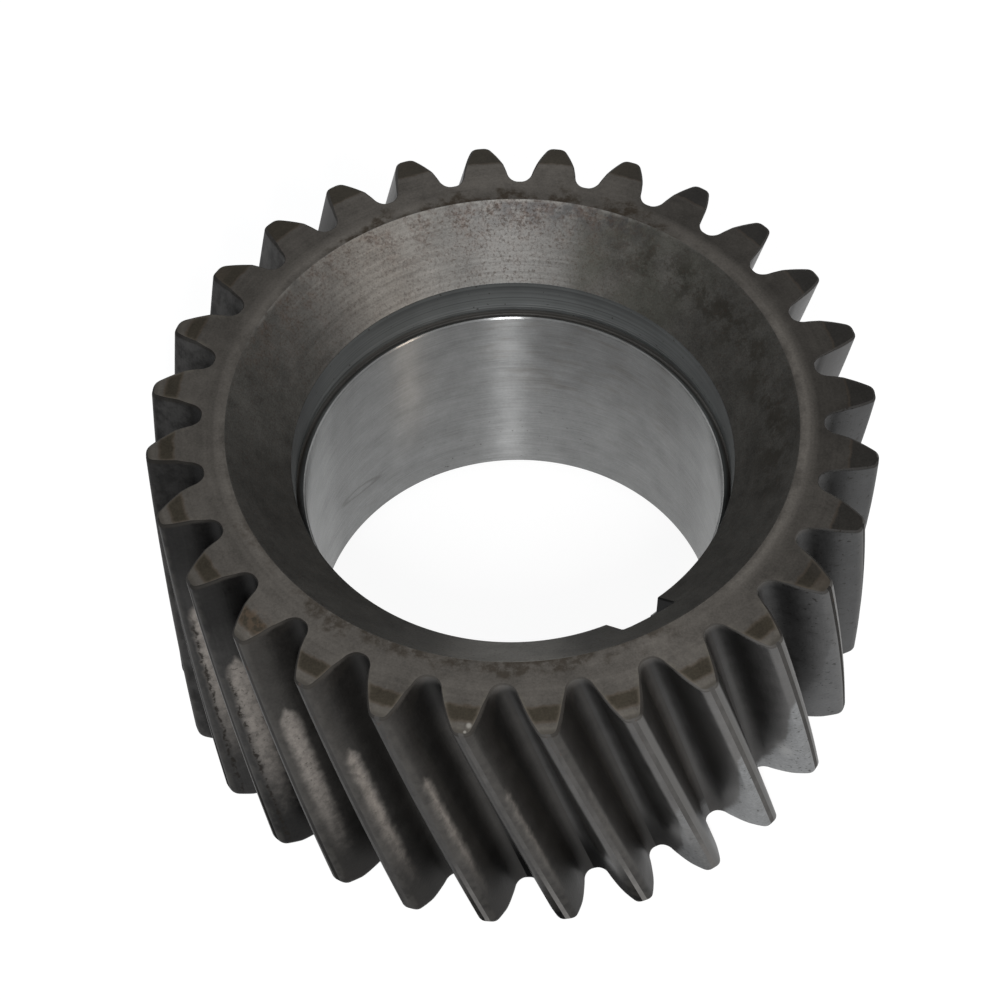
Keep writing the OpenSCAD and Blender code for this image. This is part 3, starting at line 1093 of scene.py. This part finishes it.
def tooth_lands():
    f = ToothFinish("tooth_lands")
    g = f.g
    mottle = f.cloud(3.0, 4.0)
    fine = f.cloud(0.5, 2.0)
    turned_marks = f.marks(f.z + f.turn * 0.10, 1.5, 30.0)
    streak = f.noise(f.turn, f.z / 22.0, f.r / 4.0, 3.0)
    level = 0.30 + mottle * 0.45 + streak * 0.45 + turned_marks * 0.25 + fine * 0.30
    level = level * (1.0 - f.teeth(200, 16, 70) * 0.50) * (1.0 - f.teeth(340, 16, 22) * 0.60)
    low = f.teeth(264, 18, 12) * 0.80 + f.teeth(305, 6, 14) * 0.1 - f.teeth(202, 18, 14) * 0.62
    level = level * (1.0 + f.z.ramp(26.0, 6.0) * low)
    level = level * (1.0 + f.teeth(242, 22, 14) * 0.12)
    colour = g.shade(LAND_STEEL, level)
    side = (abs(f.across) * (PITCH * TIP_R) - 0.55).ramp(0.0, 0.25) * mottle.ramp(0.35, 0.6)
    colour = g.mix(side * 0.20, colour, LAND_SIDE)
    rust = f.cloud(0.9, 2.0, shift=14.0).ramp(0.62, 0.72) * f.z.ramp(44.0, 62.0) * 0.4
    colour = g.mix(rust, colour, RUST)
    # the lands that are seen at a low angle are duller, and the far ones smoother
    brow = f.below_front().ramp(0.20, 0.60, 1.0, 0.0)
    rough = 0.58 + mottle * 0.14 + brow * 0.2 - f.teeth(80, 60, 20) * 0.12
    rough = rough + f.teeth(344, 14, 16) * 0.42 + f.teeth(177, 14, 10) * 0.42
    rough = rough + f.teeth(198, 12, 10) * f.z.ramp(26.0, 8.0) * 0.3
    return f.close(colour, rough, fine * 0.5 + streak * 0.3, 0.012, edge=0.5)


def rear_steel():
    f = Finish("rear_face")
    g = f.g
    rings = f.marks(f.r, 0.6, 35.0)
    mottle = f.cloud(6.0, 6.0)
    fine = f.cloud(0.5, 3.0)
    colour = g.shade(REAR_STEEL, 0.34 + rings * 0.24 + mottle * 0.72 + fine * 0.4)
    oil = f.cloud(11.0, 6.0, shift=27.0).ramp(0.50, 0.68)
    colour = g.mix(oil * 0.5, colour, STAIN)
    rough = 0.36 + mottle * 0.14
    return f.close(colour, rough, rings * 0.6 + fine * 0.4, 0.012, anisotropic=0.35)


def keyway_walls():
    f = Finish("keyway_walls")
    strokes = f.noise(f.x / 0.5, f.y / 0.5, f.z / 14.0, 3.0)
    mottle = f.cloud(3.0, 4.0)
    # one side wall is darker than the floor and the other wall
    beside = f.y * math.cos(KEY_ANGLE) - f.x * math.sin(KEY_ANGLE)
    level = (0.3 + strokes * 0.8 + mottle * 0.6) * beside.ramp(3.6, 4.7, 4.0, 1.0)
    colour = f.g.shade(KEYWAY_STEEL, level)
    return f.close(colour, 0.45 + mottle * 0.12, strokes, 0.012, edge=0.62)


finishes = {
    "face": turned_face(),
    "bevel": bevelled_ends(),
    "dish": turned_dish(),
    "recess": recess_wall(),
    "bore": ground_bore(),
    "flank": tooth_flanks(),
    "land": tooth_lands(),
    "rear": rear_steel(),
    "key": keyway_walls(),
}
wheel = make_wheel([finishes[name] for name in FINISHES])
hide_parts("gear_wheel")
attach(wheel, "root")

# Floor, light and camera

FLOOR_HALF = 3.0                                 # metres
LAMP_AIM = (0, 0, 0.04)

# The photograph's viewpoint, fitted to the wheel's outline. Lengths on the wheel are in
# VIEW_UNIT, which is its tip radius, and angles are in degrees.
VIEW_UNIT = 61.842
VIEW_TURN = 0.88
VIEW_HEIGHT = 54.769
VIEW_ROLL = -1.760
VIEW_AIM = (-0.03799, -0.27064, 0)
VIEW_DISTANCE = 8.90187
FOCAL_PIXELS = 3326.465
IMAGE_PIXELS = 1000
SENSOR = 36
HALF_PIXEL = 0.5 / IMAGE_PIXELS


def seen_rays(g):
    """1 for the rays that see the white background: straight, mirrored or through glass."""
    path = g.node("ShaderNodeLightPath", {}, {}, "Is Camera Ray")
    rays = path.socket.node.outputs
    mirrored, through = (Wire(g, rays[n]) for n in ("Is Glossy Ray", "Is Transmission Ray"))
    return path.most(mirrored).most(through)


def make_floor():
    data = bpy.data.meshes.new("floor")
    s = FLOOR_HALF
    data.from_pydata([(-s, -s, 0), (s, -s, 0), (s, s, 0), (-s, s, 0)], [], [(0, 1, 2, 3)])
    floor = bpy.data.objects.new("floor", data)
    bpy.context.scene.collection.objects.link(floor)
    material = bpy.data.materials.new("pale_floor")
    material.use_nodes = True
    g = Graph(material.node_tree)
    g.tree.nodes.clear()
    matt = g.node("ShaderNodeBsdfDiffuse", {}, {"Color": (0.85, 0.85, 0.85, 1)})
    dim = g.node("ShaderNodeBsdfDiffuse", {}, {"Color": (0.16, 0.16, 0.16, 1)})
    white = g.node("ShaderNodeEmission", {}, {"Color": (1, 1, 1, 1), "Strength": 0.91})
    pale = g.node("ShaderNodeAddShader", {}, {0: dim, 1: white})
    mixed = g.node("ShaderNodeMixShader", {}, {0: seen_rays(g), 1: matt, 2: pale})
    g.node("ShaderNodeOutputMaterial", {}, {"Surface": mixed})
    data.materials.append(material)


def area_light(name, place, size, power, colour=(1, 1, 1)):
    lamp = bpy.data.lights.new(name, "AREA")
    lamp.shape = "RECTANGLE"
    lamp.size, lamp.size_y = size
    lamp.energy = power
    lamp.color = colour
    holder = bpy.data.objects.new(name, lamp)
    bpy.context.scene.collection.objects.link(holder)
    holder.location = place
    ahead = Vector(LAMP_AIM) - Vector(place)
    holder.rotation_euler = ahead.to_track_quat("-Z", "Y").to_euler()


def make_camera():
    """The photograph's viewpoint, in millimetres before it is scaled."""
    turn = Matrix.Rotation(math.radians(VIEW_TURN), 3, "Z")
    height, roll = math.radians(VIEW_HEIGHT), math.radians(VIEW_ROLL)
    ahead = Vector((0, math.cos(height), -math.sin(height)))
    right = Vector((1, 0, 0))
    up = right.cross(ahead)
    across = right * math.cos(roll) + up * math.sin(roll)
    upright = up * math.cos(roll) - right * math.sin(roll)
    axes = Matrix((across, upright, -ahead)).transposed()
    place = Vector(VIEW_AIM) - ahead * VIEW_DISTANCE
    data = bpy.data.cameras.new("camera")
    data.sensor_width = SENSOR
    data.lens = SENSOR * FOCAL_PIXELS / IMAGE_PIXELS
    data.clip_start = 0.01
    data.shift_x, data.shift_y = -HALF_PIXEL, HALF_PIXEL
    camera = bpy.data.objects.new("camera", data)
    bpy.context.scene.collection.objects.link(camera)
    spot = turn @ (place * VIEW_UNIT) + Vector((0, 0, FACE_WIDTH))
    camera.matrix_world = Matrix.Translation(spot * MM) @ (turn @ axes).to_4x4()
    bpy.context.scene.camera = camera


def make_world():
    world = bpy.data.worlds.new("studio")
    bpy.context.scene.world = world
    world.use_nodes = True
    g = Graph(world.node_tree)
    g.tree.nodes.clear()
    air = g.node("ShaderNodeBackground", {}, {"Color": (0.55, 0.56, 0.58, 1), "Strength": 1.0})
    white = g.node("ShaderNodeBackground", {}, {"Color": (1, 1, 1, 1), "Strength": 1.0})
    mixed = g.node("ShaderNodeMixShader", {}, {0: seen_rays(g), 1: air, 2: white})
    g.node("ShaderNodeOutputWorld", {}, {"Surface": mixed})


bpy.context.scene.view_settings.view_transform = "Standard"
make_floor()
make_world()
make_camera()
area_light("key", place=(0.02, -0.69, 0.66), size=(0.05, 0.24), power=5.5)
area_light("side", place=(0.62, -0.50, 0.47), size=(0.08, 0.14), power=1.6,
           colour=(1.0, 0.84, 0.68))
